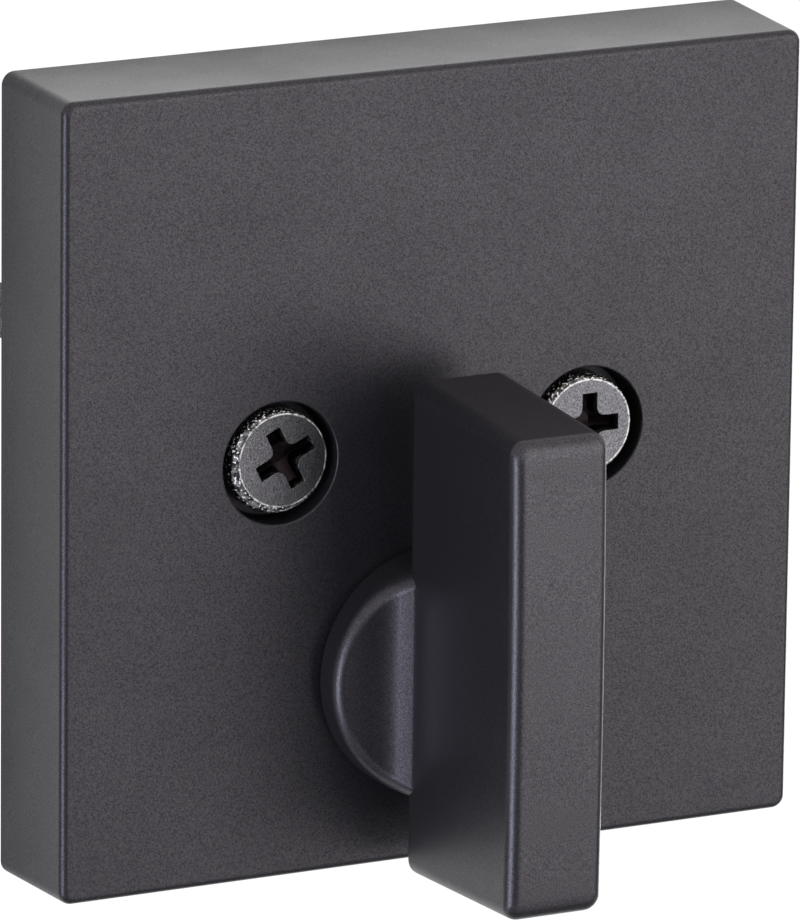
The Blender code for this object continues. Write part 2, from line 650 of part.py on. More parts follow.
def main():
    for old in list(bpy.data.objects):
        bpy.data.objects.remove(old, do_unlink=True)
    black = material("black_coated_zinc", (0.028, 0.027, 0.031), 0.0, 0.45)
    zinc = material("zinc_plated_steel", (0.45, 0.45, 0.46), 0.9, 0.35)
    steel = material("plain_steel", (0.42, 0.42, 0.43), 1.0, 0.4)
    galvanised = material("galvanised_plate", (0.5, 0.51, 0.52), 0.8, 0.45)
    nylon = material("natural_nylon", (0.72, 0.7, 0.64), 0.0, 0.5)

    axis = bpy.data.objects.new("turn_axis", None)
    bpy.context.scene.collection.objects.link(axis)
    axis.location = (0.0, 0.0, AXIS_Z * MM)

    make_rose(black)
    make_plate(galvanised)
    make_plate_screws(zinc)
    make_mounting_screws(zinc)
    make_retainers(nylon)
    make_stop_pins(steel)
    make_bush(nylon)
    make_turn_piece(black, axis)
    make_stop_disc(galvanised, axis)
    make_wave_washer(steel, axis)
    make_thrust_washer(steel, axis)
    make_retaining_ring(steel, axis)
    make_drive(steel, axis)


main()
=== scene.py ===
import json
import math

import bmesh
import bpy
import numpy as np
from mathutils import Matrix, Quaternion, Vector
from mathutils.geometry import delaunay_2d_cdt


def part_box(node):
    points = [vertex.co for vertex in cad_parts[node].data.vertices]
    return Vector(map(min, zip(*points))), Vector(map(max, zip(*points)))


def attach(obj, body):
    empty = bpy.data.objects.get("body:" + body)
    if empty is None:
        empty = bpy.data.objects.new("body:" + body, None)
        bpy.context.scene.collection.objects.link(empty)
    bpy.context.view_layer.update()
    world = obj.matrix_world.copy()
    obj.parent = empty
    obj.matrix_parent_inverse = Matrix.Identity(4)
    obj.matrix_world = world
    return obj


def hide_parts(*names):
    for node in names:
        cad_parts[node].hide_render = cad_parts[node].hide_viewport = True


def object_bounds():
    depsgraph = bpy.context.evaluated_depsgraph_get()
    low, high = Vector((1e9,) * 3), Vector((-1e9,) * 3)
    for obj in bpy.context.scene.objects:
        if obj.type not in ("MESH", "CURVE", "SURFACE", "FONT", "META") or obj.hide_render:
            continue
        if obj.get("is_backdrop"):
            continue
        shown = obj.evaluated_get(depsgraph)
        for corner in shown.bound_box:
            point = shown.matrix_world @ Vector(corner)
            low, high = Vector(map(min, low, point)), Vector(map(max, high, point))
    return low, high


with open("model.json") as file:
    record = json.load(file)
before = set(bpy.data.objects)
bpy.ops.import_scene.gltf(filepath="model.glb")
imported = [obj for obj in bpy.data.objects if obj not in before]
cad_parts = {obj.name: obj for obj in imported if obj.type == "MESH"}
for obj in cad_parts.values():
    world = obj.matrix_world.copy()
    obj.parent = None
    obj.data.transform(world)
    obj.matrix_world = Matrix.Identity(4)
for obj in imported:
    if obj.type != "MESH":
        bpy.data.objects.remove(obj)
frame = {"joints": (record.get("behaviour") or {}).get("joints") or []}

# %% [markdown]
# # Inside trim of a deadbolt
#
# The object is the room side of a door lock: a square rose with a bar to turn by hand. The working model is
# already loaded as a fixed frame of plain solids, one for each part. This lesson gives each part its
# finished surface and its finish, in the order that a hand would take the lock apart.
#
# A piece could be sculpted, cut from blocks with booleans, or worked out from its section. Sections are
# used here because every part is cast, turned, punched or rolled, so a line and a path describe it exactly.

MM = 0.001
FIXED, MOVING = "fixed_trim", "thumb_turn"
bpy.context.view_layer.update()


def box_mm(node):
    """A node's lowest and highest corners, in millimetres."""
    low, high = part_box(node)
    return np.array(low) / MM, np.array(high) / MM


rose_low, rose_high = box_mm("rose_cover")
turn_low, turn_high = box_mm("turn_piece")
screw_low, screw_high = box_mm("mounting_screw_right")
plate_low, plate_high = box_mm("mounting_plate")
axis_z = frame["joints"][0]["pos_m"][2] / MM
rose_front = rose_low[1]
print("rose", np.round(rose_high - rose_low, 2), "mm, turning axis", round(axis_z, 2), "mm from its centre")

# %% [markdown]
# ## A mesh from grids
#
# A surface is a grid of points: one index runs along a section, the other round or along a path. Several
# grids can share their border points; welding them by distance then closes the piece, and a row whose
# radius is zero welds into a pole. The other way, adding one vertex at a time, is slower and hides the
# formula.

# %% Grids of points


def grid_faces(rows, columns, wrap_rows=False):
    """Four-sided faces between neighbours on a grid whose columns close on themselves."""
    number = np.arange(rows * columns).reshape(rows, columns)
    number = np.hstack([number, number[:, :1]])
    if wrap_rows:
        number = np.vstack([number, number[:1]])
    corners = [number[:-1, :-1], number[:-1, 1:], number[1:, 1:], number[1:, :-1]]
    return np.stack(corners, axis=-1).reshape(-1, 4)


def turned(line, count=96, x=0.0, z=0.0, wrap=False):
    """Surface of revolution round a line along Y: point = (x + r cos t, depth, z + r sin t)."""
    turn = np.arange(count) * 2 * math.pi / count
    radius, depth = line[:, :1], line[:, 1:2]
    points = np.stack([x + radius * np.cos(turn), depth + 0 * turn, z + radius * np.sin(turn)], axis=-1)
    return points.reshape(-1, 3), grid_faces(len(line), count, wrap)


def swept(outlines, depths):
    """Surface through one flat outline after the other, each at its own depth."""
    points = np.stack([np.insert(o, 1, d, axis=1) for o, d in zip(outlines, depths)])
    return points.reshape(-1, 3), grid_faces(len(depths), points.shape[1])


def across(surface, y):
    """The same surface with its axis laid along X, at depth y on the turning axis."""
    points, faces = surface
    return np.stack([points[:, 1], y + points[:, 0], axis_z + points[:, 2]], axis=1), faces


def flat(depth, outer, holes=()):
    """Flat face at one depth between an outline and its holes, split into triangles by Delaunay's rule."""
    loops = [outer, *holes]
    start = np.cumsum([0] + [len(loop) for loop in loops])
    edges = [(int(first + i), int(first + (i + 1) % len(loop)))
             for first, loop in zip(start, loops) for i in range(len(loop))]
    points = [Vector(p) for p in np.concatenate(loops)]
    found, _, faces, *_ = delaunay_2d_cdt(points, edges, [], 1, 1e-9)
    loop_of = np.searchsorted(start, np.arange(start[-1]), side="right") - 1
    # A triangle whose corners all lie on one hole's outline would fill that hole.
    kept = [face for face in faces
            if not (loop_of[face[0]] > 0 and len({int(loop_of[i]) for i in face}) == 1)]
    return np.array([(p.x, depth, p.y) for p in found]), np.array(kept)


# %% Outlines and sections


def circle(radius, count=96, x=0.0, z=0.0):
    """Points at equal turns: (x + r cos t, z + r sin t)."""
    turn = np.arange(count) * 2 * math.pi / count
    return np.stack([x + radius * np.cos(turn), z + radius * np.sin(turn)], axis=1)


def rounded_square(left, right, bottom, top, radius, arc=8, side=10):
    """Outline of a rectangle with round corners: straight runs and quarter circles, run anticlockwise."""
    run = np.linspace(0, 1, side, endpoint=False)[:, None]
    points = []
    for x, z, start in ((right, top, 0), (left, top, 90), (left, bottom, 180), (right, bottom, 270)):
        centre = np.array([x - math.copysign(radius, x - (left + right) / 2),
                           z - math.copysign(radius, z - (bottom + top) / 2)])
        turn = np.radians(start + 90 * np.arange(arc + 1) / arc)[:, None]
        points.append(centre + radius * np.hstack([np.cos(turn), np.sin(turn)]))
    joined = []
    for corner, following in zip(points, points[1:] + points[:1]):
        joined += [corner[:-1], corner[-1] + run * (following[0] - corner[-1])]
    return np.concatenate(joined)


def rounded_line(corners, steps=6):
    """A section line whose corners, each (radius, depth, rounding), become arcs tangent to both sides."""
    corners = [tuple(c) + (0.0,) * (3 - len(c)) for c in corners]
    line = [np.array([corners[0][:2]])]
    for before, here, after in zip(corners, corners[1:], corners[2:]):
        p, a, b = (np.array(c[:2], float) for c in (here, before, after))
        if here[2] <= 0:
            line.append(p[None])
            continue
        u, v = (a - p) / np.linalg.norm(a - p), (b - p) / np.linalg.norm(b - p)
        half = math.acos(np.clip(u @ v, -1, 1)) / 2
        centre = p + (u + v) / np.linalg.norm(u + v) * here[2] / math.sin(half)
        first, last = (p + w * here[2] / math.tan(half) - centre for w in (u, v))
        sweep = math.pi - 2 * half
        share = np.linspace(0, 1, steps + 1)[:, None]
        swing = np.sin((1 - share) * sweep) * first + np.sin(share * sweep) * last
        line.append(centre + swing / math.sin(sweep))
    line.append(np.array([corners[-1][:2]]))
    return np.concatenate(line)


def rounded_loop(corners, steps=5):
    """The same for a section that closes on itself: it starts half way along its last side."""
    middle = tuple((np.array(corners[0][:2]) + np.array(corners[-1][:2])) / 2)
    return rounded_line([middle, *corners, middle], steps)[:-1]


def inset(outline, amount):
    """Every point moves in along the mean of its edges' normals, far enough to keep them parallel."""
    ahead = np.roll(outline, -1, axis=0) - outline
    ahead /= np.linalg.norm(ahead, axis=1)[:, None]
    inward = np.stack([-ahead[:, 1], ahead[:, 0]], axis=1)
    mean = inward + np.roll(inward, 1, axis=0)
    return outline + amount * mean * 2 / np.maximum((mean ** 2).sum(axis=1), 0.8)[:, None]


def sheet(outline, holes, front, back, edge):
    """A punched sheet: both faces, and walls whose edges are quarter circles of radius edge."""
    turn = np.radians(90 * np.arange(5) / 4)
    into = np.concatenate([edge * (1 - np.sin(turn)), edge * (1 - np.sin(turn[::-1]))])
    depth = np.concatenate([front + edge * (1 - np.cos(turn)), back - edge * (1 - np.cos(turn[::-1]))])
    surfaces = [swept([inset(loop, side * i) for i in into], depth)
                for loop, side in [(outline, 1)] + [(hole, -1) for hole in holes]]
    rim, mouths = inset(outline, edge), [inset(hole, -edge) for hole in holes]
    return surfaces + [flat(depth[0], rim, mouths), flat(depth[-1], rim, mouths)]


# %% From grids to pieces


def closed_mesh(name, surfaces, weld=2e-6):
    """Joins surfaces (points in millimetres, faces) into one mesh in metres, welded and facing outwards."""
    corners, faces, first = [], [], 0
    for points, quads in surfaces:
        corners.append(np.asarray(points) * MM)
        faces += (np.asarray(quads) + first).tolist()
        first += len(points)
    mesh = bpy.data.meshes.new(name)
    mesh.from_pydata(np.concatenate(corners).tolist(), [], faces)
    bm = bmesh.new()
    bm.from_mesh(mesh)
    bmesh.ops.remove_doubles(bm, verts=bm.verts, dist=weld)
    bmesh.ops.recalc_face_normals(bm, faces=bm.faces)
    bm.to_mesh(mesh)
    bm.free()
    return mesh


def in_scene(name, mesh):
    """An object at the origin that shows a mesh, a light or a camera."""
    thing = bpy.data.objects.new(name, mesh)
    bpy.context.scene.collection.objects.link(thing)
    return thing


def less(name, mesh, surfaces):
    """The mesh with another closed shape taken away from it by an exact boolean."""
    body = in_scene(name + "_whole", mesh)
    tool = in_scene(name + "_tool", closed_mesh(name + "_tool", surfaces))
    cut = body.modifiers.new("cut", "BOOLEAN")
    cut.operation, cut.solver, cut.object = "DIFFERENCE", "EXACT", tool
    result = bpy.data.meshes.new_from_object(body.evaluated_get(bpy.context.evaluated_depsgraph_get()))
    for spent in (body, tool):
        bpy.data.objects.remove(spent)
    return result


def piece(name, body, surfaces, finish, replaced, cuts=(), uncut=(), sharp=40, weld=2e-6):
    """One finished piece that rides on a body of the frame in place of the plain solids it replaces.

    Only the shell made of surfaces is cut. Closed shells in uncut may overlap it, and join it afterwards.
    """
    mesh = closed_mesh(name, surfaces, weld)
    for number, cutter in enumerate(cuts):
        mesh = less(f"{name}_{number}", mesh, cutter)
    if uncut:
        bm = bmesh.new()
        for shell in (mesh, closed_mesh(name + "_shells", uncut, weld)):
            bm.from_mesh(shell)
        bm.to_mesh(mesh)
        bm.free()
    mesh.name = name
    mesh.shade_smooth()
    mesh.set_sharp_from_angle(angle=math.radians(sharp))
    mesh.materials.clear()
    mesh.materials.append(finish)
    thing = in_scene(name, mesh)
    even = thing.modifiers.new("even_shading", "WEIGHTED_NORMAL")
    even.keep_sharp = True
    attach(thing, body)
    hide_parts(*replaced.split())
    edges = np.array([key for face in mesh.polygons for key in face.edge_keys])
    uses = np.unique(edges, axis=0, return_counts=True)[1]
    print(f"{name}: {len(mesh.polygons)} faces, {(uses != 2).sum()} open edges")
    return thing


# %% [markdown]
# ## Finishes
#
# Each finish starts from what the real one is. The node trees are short, so one helper adds a node with its
# settings and its links. Colours are written as the sRGB values that a colour picker shows, and one
# function makes them linear. Numbers that are the same all over a surface are set on the shader's own
# socket. Patterns could be pictures, but noise on the piece's own coordinates has a size in millimetres.

# %% Material helpers


def linear(hex_colour):
    """sRGB hex to linear RGB: c / 12.92 below 0.04045, else ((c + 0.055) / 1.055) ** 2.4."""
    channels = [int(hex_colour[i:i + 2], 16) / 255 for i in (1, 3, 5)]
    return tuple(c / 12.92 if c <= 0.04045 else ((c + 0.055) / 1.055) ** 2.4 for c in channels) + (1.0,)


def add(tree, kind, settings=None, *sources, **links):
    """Adds a node, sets its values, and links sockets in order, or by name with _ for spaces."""
    node = tree.nodes.new("ShaderNode" + kind)
    for key, value in (settings or {}).items():
        if key in node.inputs:
            node.inputs[key].default_value = value
        else:
            setattr(node, key, value)
    for number, source in enumerate(sources):
        tree.links.new(source, node.inputs[number])
    wire(node, **links)
    return node


def wire(node, **links):
    """Links sources to a node's sockets, named with _ for spaces."""
    for key, source in links.items():
        node.id_data.links.new(source, node.inputs[key.replace("_", " ")])


def new_finish(name, colour, metallic, roughness, ior=1.5):
    """A material, its node tree, its shader with plain values, and coordinates that stay with the piece."""
    made = bpy.data.materials.new(name)
    made.use_nodes = True
    shader = made.node_tree.nodes["Principled BSDF"]
    plain = {"Base Color": linear(colour), "Metallic": metallic, "Roughness": roughness, "IOR": ior}
    for key, value in plain.items():
        shader.inputs[key].default_value = value
    return made, made.node_tree, shader, add(made.node_tree, "TexCoord").outputs["Object"]


def features(size, detail=3.0, rough=0.55):
    """Noise values for features about this many millimetres across, on coordinates in metres."""
    return {"Scale": 1 / (size * MM), "Detail": detail, "Roughness": rough}


def between(low, high, start=0.3, end=0.7):
    """Map Range values that stretch the middle of a noise, from start to end, to run from low to high."""
    return {"From Min": start, "From Max": end, "To Min": low, "To Max": high}


# %% Coated castings
GRAIN_HEIGHT = 0.02 * MM


def cast_black(name, colour, roughness, shine, back_shade=0.0):
    """Satin black coat over blasted zinc: fine grain in relief and shine, and a cloudy roughness.

    Towards the door the shine falls and the roughness rises by the last number: painted shade, so that the
    sides and top reflect darker near the door.
    """
    made, tree, shader, place = new_finish(name, colour, 0.0, roughness)
    shader.inputs["Specular Tint"].default_value = linear("#fdf5ff")
    # The grit of the blasting is nearer 0.05 mm; 0.12 mm is the finest grain that still shows.
    fine = add(tree, "TexNoise", features(0.12, 2.0, 0.6), Vector=place).outputs["Fac"]
    cloud = add(tree, "TexNoise", features(9.0, 4.0), Vector=place).outputs["Fac"]
    depth = add(tree, "SeparateXYZ", Vector=place).outputs["Y"]
    # Painted shade: the shine falls and the roughness rises from the front face back to the door.
    fade_range = between(1.0, 1.0 - back_shade, rose_front * MM, 0.0)
    sheen_fade = add(tree, "MapRange", fade_range, Value=depth).outputs["Result"]
    # The coat's flat and raised specks catch the light unevenly: this is the grain that the eye sees.
    glint = add(tree, "MapRange", between(shine * 0.45, shine * 1.55), Value=fine).outputs["Result"]
    level = add(tree, "Math", {"operation": "MULTIPLY"}, glint, sheen_fade).outputs["Value"]
    clouded = between(roughness - 0.03, roughness + 0.03)
    uneven = add(tree, "MapRange", clouded, Value=cloud).outputs["Result"]
    smooth = add(tree, "MapRange", between(0.6, 1.0, 0.0, 1.0), Value=sheen_fade).outputs["Result"]
    matt = add(tree, "Math", {"operation": "DIVIDE"}, uneven, smooth).outputs["Value"]
    relief = add(tree, "Bump", {"Strength": 0.4, "Distance": GRAIN_HEIGHT}, Height=fine).outputs["Normal"]
    wire(shader, Specular_IOR_Level=level, Roughness=matt, Normal=relief)
    return made


# Cast zinc, blasted and coated: a soft, nearly colourless sheen with a fine grain, and painted shade that
# dulls the sides towards the door.
black_rose = cast_black("satin_black_cast_zinc", "#161518", 0.40, 0.45, back_shade=0.45)
# The same coat on the turn, a little smoother and with more shine, and no painted shade towards the door.
black_turn = cast_black("satin_black_thumb_turn", "#161518", 0.38, 0.56)
print("coats:", black_rose.name, black_turn.name)

# %% Plated screws


def plated_screw(name):
    """Black zinc plate with painted shade in its recess and a darker rim, worn bright where the mesh's
    attributes say: ring all round, rim in specks.
    """
    made, tree, shader, place = new_finish(name, "#535155", 1.0, 0.27)
    shade_and_dark_rim, rim, ring = (add(tree, "Attribute", {"attribute_name": key}).outputs["Fac"]
                         for key in ("shade_and_dark_rim", "rim", "ring"))
    fine, patch, smear = (add(tree, "TexNoise", features(*size), Vector=place).outputs["Fac"]
                          for size in ((0.11, 2.0, 0.6), (0.2, 1.0, 0.5), (0.6, 4.0, 0.7)))
    mottle = add(tree, "MapRange", between(0.0, 1.0), Value=fine).outputs["Result"]
    greys = {"data_type": "RGBA", "A": linear("#38373a"), "B": linear("#6d6b6f")}
    plate = add(tree, "Mix", greys, Factor=mottle).outputs["Result"]
    # Painted shade: deep in the recess the plate goes nearly black, and the long screws' rounded rim is
    # darkened the same way.
    shade_black = {"data_type": "RGBA", "B": linear("#1a1516")}
    dark = add(tree, "Mix", shade_black, Factor=shade_and_dark_rim, A=plate).outputs["Result"]
    # Rolled edges lose the plate first: in a few bright specks, and in a thin broken line on the corner.
    speck = add(tree, "MapRange", between(0.0, 1.0, 0.61, 0.64), Value=patch).outputs["Result"]
    specks = add(tree, "Math", {"operation": "MULTIPLY"}, rim, speck).outputs["Value"]
    broken = add(tree, "MapRange", between(0.1, 1.0, 0.44, 0.56), Value=smear).outputs["Result"]
    line = add(tree, "Math", {"operation": "MULTIPLY"}, ring, broken).outputs["Value"]
    bright = add(tree, "Math", {"operation": "MAXIMUM"}, specks, line).outputs["Value"]
    zinc = {"data_type": "RGBA", "B": linear("#f6f4f2")}
    worn = add(tree, "Mix", zinc, Factor=bright, A=dark).outputs["Result"]
    coarse = add(tree, "Math", {"operation": "MAXIMUM"}, bright, rim).outputs["Value"]
    matt = add(tree, "MapRange", between(0.27, 0.8, 0.0, 1.0), Value=coarse).outputs["Result"]
    relief = add(tree, "Bump", {"Strength": 0.6, "Distance": GRAIN_HEIGHT}, Height=fine).outputs["Normal"]
    wire(shader, Base_Color=worn, Roughness=matt, Normal=relief)
    return made


# Cold-formed steel, black zinc plated: smoky grey metal, bright where it is worn, and blackened in its
# recess by painted shade.
screw_zinc = plated_screw("black_zinc_plated_screw")
print("screws:", screw_zinc.name)

# %% Bare metals and nylon


def bare_metal(name, colour, roughness, brush):
    """Plated or plain steel: streaks of noise stretched by the sizes in brush, and an uneven roughness."""
    made, tree, shader, place = new_finish(name, colour, 1.0, roughness)
    scale = tuple(1 / (size * MM) for size in brush)
    stretched = add(tree, "Mapping", {"Scale": scale}, Vector=place).outputs["Vector"]
    streak = add(tree, "TexNoise", {"Scale": 1.0, "Detail": 4.0}, Vector=stretched).outputs["Fac"]
    cloud = add(tree, "TexNoise", features(3.0), Vector=place).outputs["Fac"]
    clouded = between(roughness - 0.08, roughness + 0.08)
    uneven = add(tree, "MapRange", clouded, Value=cloud).outputs["Result"]
    relief = add(tree, "Bump", {"Strength": 0.3, "Distance": GRAIN_HEIGHT}, Height=streak).outputs["Normal"]
    wire(shader, Roughness=uneven, Normal=relief)
    return made


def moulded_nylon():
    """Natural nylon: milky, slightly waxy, with the faint cloud of a moulding."""
    made, tree, shader, place = new_finish("natural_nylon", "#e3ddcd", 0.0, 0.45, 1.53)
    shader.inputs["Subsurface Weight"].default_value = 0.15
    shader.inputs["Subsurface Radius"].default_value = (0.002, 0.0018, 0.0014)
    cloud = add(tree, "TexNoise", features(1.5), Vector=place).outputs["Fac"]
    waxy = add(tree, "MapRange", between(0.36, 0.52), Value=cloud).outputs["Result"]
    relief = add(tree, "Bump", {"Strength": 0.15, "Distance": GRAIN_HEIGHT}, Height=cloud).outputs["Normal"]
    wire(shader, Roughness=waxy, Normal=relief)
    return made


# Rolled sheet, zinc plated after punching: grey and blurred, with faint streaks along the rolling.
sheet_zinc = bare_metal("zinc_plated_sheet_steel", "#8d9094", 0.52, (3.0, 0.4, 0.12))
# Bar steel off a lathe: fine rings round its axis, as sharp as the tool's feed of 0.12 mm.
turned_steel = bare_metal("turned_steel", "#a6a4a2", 0.32, (2.0, 0.12, 2.0))
# Hardened strip: darker and smoother than bar, with short rolling marks.
spring_steel = bare_metal("rolled_spring_steel", "#8e8c8a", 0.30, (0.5, 0.1, 0.5))
nylon = moulded_nylon()
print(len(bpy.data.materials), "finishes")

# %% [markdown]
# ## The rose
#
# The rose is a hollow zinc casting: sides that lean in for the mould, a small rounding before a flat face,
# two wells for the screws and a hub for the thumb turn. Its walls are sections swept round a square, its
# wells, hub and posts are sections turned round an axis, and the flat faces between them are filled to
# those outlines.

# %% Sizes of the rose
gap = 0.3                               # between pieces that nearly touch
SIDES = (-1, 1)
half = (rose_high[0] - rose_low[0]) / 2
draft, corner, front_edge = 0.31, 1.1, 0.62
wall, skin = 2.2, 2.4                   # of the casting's sides and its front
cavity_half, cavity_back = half - wall, rose_front + skin
plate_front, plate_back = plate_low[1], plate_high[1]
seat = plate_front - gap                # where wells, hub and posts end, just short of the plate
post_at, post_r, small_hole, post_skin = plate_high[0] - 4.6, 3.6, 1.6, 1.2
print("walls", wall, "mm, front", skin, "mm, posts", round(post_at, 2), "mm from the centre")

# %% Sizes of its wells and hub
screw_x, screw_z = (screw_high[0] + screw_low[0]) / 2, (screw_high[2] + screw_low[2]) / 2
screw_r, head_r, head_height = 2.08, (screw_high[0] - screw_low[0]) / 2, 2.4
head_top, head_under = screw_low[1], screw_low[1] + head_height
well_r, well_lip, well_outer = head_r + 0.78, 0.15, head_r + 2.4
collar_r, shank_r = (turn_high[0] - turn_low[0]) / 2, 5.5
collar_back = rose_front - 0.35
flange_r, bush_r = collar_r - 1.15, shank_r + gap + 1.6
flange_front, flange_back = collar_back + gap, collar_back + gap + 1.0
hub_r = bush_r + gap + 1.9
print("wells", round(2 * well_r, 2), "mm, hub", round(2 * hub_r, 2), "mm across")

# %% The rose's surfaces


def rose_outside(steps=8):
    """Up the leaning side, then a quarter circle: inset = e (1 - cos t), depth = e (1 - sin t)."""
    turn = np.radians(90 * np.arange(steps + 1) / steps)
    into = np.insert(front_edge * (1 - np.cos(turn)), 0, [0.0])
    depth = np.insert(rose_front + front_edge * (1 - np.sin(turn)), 0, [0.0])
    lean = draft * depth / rose_front
    return [rounded_square(-s, s, -s, s, corner - i) for s, i in zip(half - lean - into, into)], depth


def rose_inside():
    """Down the cavity's wall from the rim and round a fillet to its floor."""
    turn, fillet = np.radians(90 * np.arange(6) / 5), 0.8
    size = np.insert(cavity_half - fillet * (1 - np.cos(turn)), 0, cavity_half)
    depth = np.insert(cavity_back + fillet * (1 - np.sin(turn)), 0, 0.0)
    size = size - 0.24 * depth / cavity_back
    return [rounded_square(-s, s, -s, s, 2.0 - (cavity_half - s) * 0.5) for s in size], depth


outside, outside_depth = rose_outside()
inside, inside_depth = rose_inside()
surfaces = [swept(outside, outside_depth), swept(inside, inside_depth),
            swept([outside[0], inside[0]], [0.0, 0.0])]
well = rounded_line([(well_r + 1, rose_front), (well_r, rose_front, well_lip),
                     (well_r, head_under + gap, 0.3), (screw_r + gap, head_under + gap),
                     (screw_r + gap, seat)])[1:]
cup = rounded_line([(well_outer + 1, cavity_back), (well_outer, cavity_back, 0.5), (well_outer, seat, 0.2),
                    (screw_r + gap, seat)])[1:]
hub = rounded_line([(flange_r + 2, rose_front), (flange_r + gap, rose_front, 0.15),
                    (flange_r + gap, flange_back + gap, 0.2), (bush_r + gap, flange_back + gap),
                    (bush_r + gap, seat)])[1:]
boss = rounded_line([(hub_r + 1, cavity_back), (hub_r, cavity_back, 0.6), (hub_r, seat, 0.2),
                     (bush_r + gap, seat)])[1:]
post = rounded_line([(post_r + 1, cavity_back), (post_r, cavity_back, 0.5), (post_r, seat, 0.2),
                     (small_hole, seat), (small_hole, rose_front + post_skin, 0.2),
                     (0.0, rose_front + post_skin)])[1:]
mouths, feet = [], []
for side in SIDES:
    surfaces += [turned(well, 96, side * screw_x, screw_z), turned(cup, 96, side * screw_x, screw_z)]
    mouths.append(circle(well[0][0], 96, side * screw_x, screw_z))
    feet.append(circle(cup[0][0], 96, side * screw_x, screw_z))
    for up in SIDES:
        surfaces.append(turned(post, 48, side * post_at, up * post_at))
        feet.append(circle(post[0][0], 48, side * post_at, up * post_at))
surfaces += [turned(hub, 128, 0.0, axis_z), turned(boss, 128, 0.0, axis_z)]
mouths.append(circle(hub[0][0], 128, 0.0, axis_z))
feet.append(circle(boss[0][0], 128, 0.0, axis_z))
surfaces += [flat(rose_front, outside[-1], mouths), flat(cavity_back, inside[-1], feet)]
piece("rose_casting", FIXED, surfaces, black_rose, "rose_cover")

# %% [markdown]
# ## The thumb turn
#
# One casting again: a bar with soft edges, a round collar whose front sweeps up to the bar's sides, and the
# shank behind it. The bar is a stack of rounded rectangles. The collar's front is a disc of points whose
# depth depends only on their distance from the bar, as a cutter would leave it.

# %% Sizes of the thumb turn
collar_rim, rim_edge = rose_front - 3.5, 1.0
bar_half, bar_edge, bar_corner, bar_lean = 4.33, 1.05, 1.3, 0.07
bar_up, bar_down = turn_high[2], turn_low[2]
bar_back, bar_front = rose_front - 3.95, turn_low[1]
scoop_from, scoop_in, scoop_slope = 9.9, (0.0, 3.2, 4.5, 5.6), (0.0, 19.0, 37.0, 34.5)
shank_end, shank_flat, groove_r = turn_high[1], shank_r - 0.8, shank_r - 0.7
thrust_back = box_mm("thrust_washer")[1][1]
ring_low, ring_high = box_mm("retaining_ring")
groove_back = ring_high[1] + gap
pin_y = (groove_back + shank_end) / 2
cross_pin_r, blade_pin_r = 0.8, 0.7
spigot_hole_r, spigot_inside = 3.4, 10.3
print("bar", round(bar_up - bar_down, 2), "mm long and", round(bar_back - bar_front, 2), "mm deep")

# %% Bar


def crowned(z, crown=0.3):
    """How far the front falls back at height z: crown times the square of the share from middle to end."""
    return crown * ((2 * z - bar_up - bar_down) / (bar_up - bar_down)) ** 2


def bar_rows(steps=10, long_end=1.5):
    """Sections of the bar: sides and ends lean in, edges are round, and longer at the front's two ends."""
    turn = np.radians(90 * np.arange(steps + 1) / steps)
    back = bar_back - bar_edge * (1 - np.cos(turn)), bar_edge * (1 - np.sin(turn))
    front = bar_front + bar_edge * (1 - np.sin(turn)), bar_edge * (1 - np.cos(turn))
    depth, into = (np.concatenate([b, f]) for b, f in zip(back, front))
    share = (bar_back - depth) / (bar_back - bar_front)
    wide, ends = bar_half - bar_lean * share - into, share + into * np.where(share > 0.5, long_end, 1)
    outlines = [rounded_square(-w, w, bar_down + end, bar_up - end, bar_corner - i, 8, 24)
                for w, end, i in zip(wide, ends, into)]
    points, faces = swept(outlines, depth)
    points[:, 1] += crowned(points[:, 2]) * (bar_back - points[:, 1]) / (bar_back - bar_front)
    return points, faces, outlines, depth


bar_points, bar_faces, bar_outlines, bar_depths = bar_rows()
bar_surfaces = [(bar_points, bar_faces), flat(bar_depths[0], bar_outlines[0])]


def bar_front_face(rows=24):
    """The crowned front: rings that shrink from the last outline to its middle, each point at its depth."""
    middle = bar_outlines[-1].mean(axis=0)
    rings = middle + np.linspace(1, 0, rows)[:, None, None] * (bar_outlines[-1] - middle)
    points = np.insert(rings, 1, bar_front + crowned(rings[..., 1]), axis=2)
    return points.reshape(-1, 3), grid_faces(rows, len(bar_outlines[-1]))


bar_surfaces.append(bar_front_face())

# %% Collar


def scoop(x):
    """How far the collar's front stands out at x: the integral of tan(slope) from the rim in to x."""
    into = np.linspace(0, scoop_from - bar_half, 400)
    slope = np.tan(np.radians(np.interp(into, scoop_in, scoop_slope)))
    rise = np.append(0, np.cumsum((slope[1:] + slope[:-1]) / 2 * np.diff(into)))
    return np.interp(scoop_from - np.abs(x), into, rise)


def collar_surface(count=480):
    """Rows from the axis along the back, up the side, over the rim and in to the middle of the front."""
    turn = np.arange(count) * 2 * math.pi / count
    over = np.radians(90 * np.arange(13) / 12)
    inward = np.linspace(collar_r - rim_edge, 0, 90)[1:]
    radius = np.concatenate([[0.0, collar_r - 0.2, collar_r], collar_r - rim_edge * (1 - np.cos(over)),
                             inward])
    depth = np.concatenate([[collar_back, collar_back, collar_back - 0.2],
                            collar_rim + rim_edge * (1 - np.sin(over)), np.full(len(inward), collar_rim)])
    on_front = np.concatenate([np.zeros(3), np.sin(over) ** 0.5, np.ones(len(inward))])
    x, z = radius[:, None] * np.cos(turn), radius[:, None] * np.sin(turn)
    y = depth[:, None] - on_front[:, None] * scoop(x)
    return np.stack([x, y, z + axis_z], axis=-1).reshape(-1, 3), grid_faces(len(radius), count)


# %% Shank


def bore(radius, reach, y):
    """A plain cylinder along X, to drill with."""
    return [across(turned(np.array([(0, -reach), (radius, -reach), (radius, reach), (0, reach)]), 48), y)]


